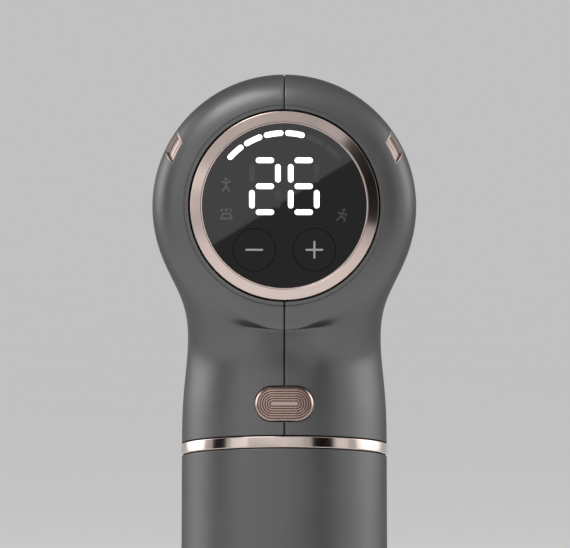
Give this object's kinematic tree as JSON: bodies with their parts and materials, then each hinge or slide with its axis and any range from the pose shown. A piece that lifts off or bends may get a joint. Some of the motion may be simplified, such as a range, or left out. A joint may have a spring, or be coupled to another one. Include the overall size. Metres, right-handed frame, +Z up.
{
  "type": "hot cold therapy massage gun",
  "caption": "Handheld percussion massage gun with a hot and cold head, a round display with minus and plus keys, a pill-shaped power button and a battery handle.",
  "frame": {"origin": "centre of the underside of the flat foot pad", "axes": "+Z up, from the foot to the barrel; +Y from the display to the massage head; +X to the right of someone who looks at the display"},
  "size_m": [0.0616, 0.117, 0.1777],
  "materials": {
    "body_grey": "soft-touch moulded plastic with a fine grain",
    "rose_plated": "plastic plated in rose gold",
    "rose_metal": "polished and anodised rose gold",
    "black_gloss": "polished black acrylic",
    "dark_plastic": "plain moulded plastic",
    "white_plastic": "plain moulded plastic",
    "black_rubber": "matt rubber",
    "steel": "turned steel",
    "copper_winding": "enamelled copper wire",
    "bare_aluminium": "turned aluminium",
    "circuit_board": "solder mask",
    "white_ceramic": "white ceramic",
    "cell_wrap": "blue shrink wrap"
  },
  "bodies": {
    "casing": {"left_shell": "body_grey", "right_shell": "body_grey", "shell_screw_1": "steel", "shell_screw_2": "steel", "shell_screw_3": "steel", "shell_screw_4": "steel", "left_vent_grille": "rose_plated", "right_vent_grille": "rose_plated", "bezel_ring": "rose_plated", "display_lens": "black_gloss", "minus_switch": "steel", "plus_switch": "steel", "light_guide": "white_plastic", "display_board": "circuit_board", "display_housing": "dark_plastic", "fan_housing": "dark_plastic", "motor_base": "bare_aluminium", "motor_stator": "copper_winding", "lower_bearing": "steel", "upper_bearing": "steel", "drive_frame": "dark_plastic", "guide_bush": "white_plastic", "frame_damper": "black_rubber", "front_collar": "rose_plated", "rod_seal": "black_rubber", "power_switch": "steel", "main_board": "circuit_board", "trim_ring": "rose_metal", "handle_sleeve": "body_grey", "upper_cell_holder": "dark_plastic", "lower_cell_holder": "dark_plastic", "battery_cell_1": "cell_wrap", "battery_cell_2": "cell_wrap", "battery_cell_3": "cell_wrap", "base_cap": "body_grey", "charge_board": "circuit_board", "charge_port": "steel", "base_pad": "black_rubber", "power_lead": "black_rubber", "display_lead": "black_rubber", "motor_lead": "black_rubber"},
    "minus_key": {"minus_button": "black_gloss"},
    "plus_key": {"plus_button": "black_gloss"},
    "power_key": {"power_button": "rose_plated"},
    "fan": {"fan_impeller": "dark_plastic"},
    "crank": {"motor_rotor": "steel", "motor_shaft": "steel", "crank_disc": "steel", "crank_roller": "steel"},
    "piston": {"piston_yoke": "bare_aluminium", "piston_rod": "bare_aluminium", "rod_contact": "dark_plastic"},
    "head": {"head_stem": "dark_plastic", "stem_o_ring": "black_rubber", "head_housing": "body_grey", "heat_sink": "bare_aluminium", "thermo_module": "white_ceramic", "insulator_ring": "white_plastic", "contact_plate": "bare_aluminium"}
  },
  "joints": [
    {"name": "minus_press", "type": "slide", "parent": "casing", "child": "minus_key", "axis": [0, 1, 0], "range_m": [0, 0.0006], "stiffness_N_per_m": 400},
    {"name": "plus_press", "type": "slide", "parent": "casing", "child": "plus_key", "axis": [0, 1, 0], "range_m": [0, 0.0006], "stiffness_N_per_m": 400},
    {"name": "power_press", "type": "slide", "parent": "casing", "child": "power_key", "axis": [0, 0.9921, -0.1253], "range_m": [0, 0.0008], "stiffness_N_per_m": 500},
    {"name": "fan_spin", "type": "hinge", "parent": "casing", "child": "fan", "pos_m": [0, 0, 0.1542], "axis": [0, 1, 0], "continuous": true},
    {"name": "crank_turn", "type": "hinge", "parent": "casing", "child": "crank", "pos_m": [0, 0.015, 0.137], "axis": [0, 0, 1], "range_deg": [0, 180]},
    {"name": "piston_slide", "type": "slide", "parent": "casing", "child": "piston", "axis": [0, 1, 0], "range_m": [0, 0.007]},
    {"name": "head_release", "type": "slide", "parent": "piston", "child": "head", "axis": [0, 1, 0], "range_m": [0, 0.018]}
  ],
  "couplings": [
    {"joint": "piston_slide", "follows": "crank_turn", "m_per_rad": 0.002228}
  ]
}
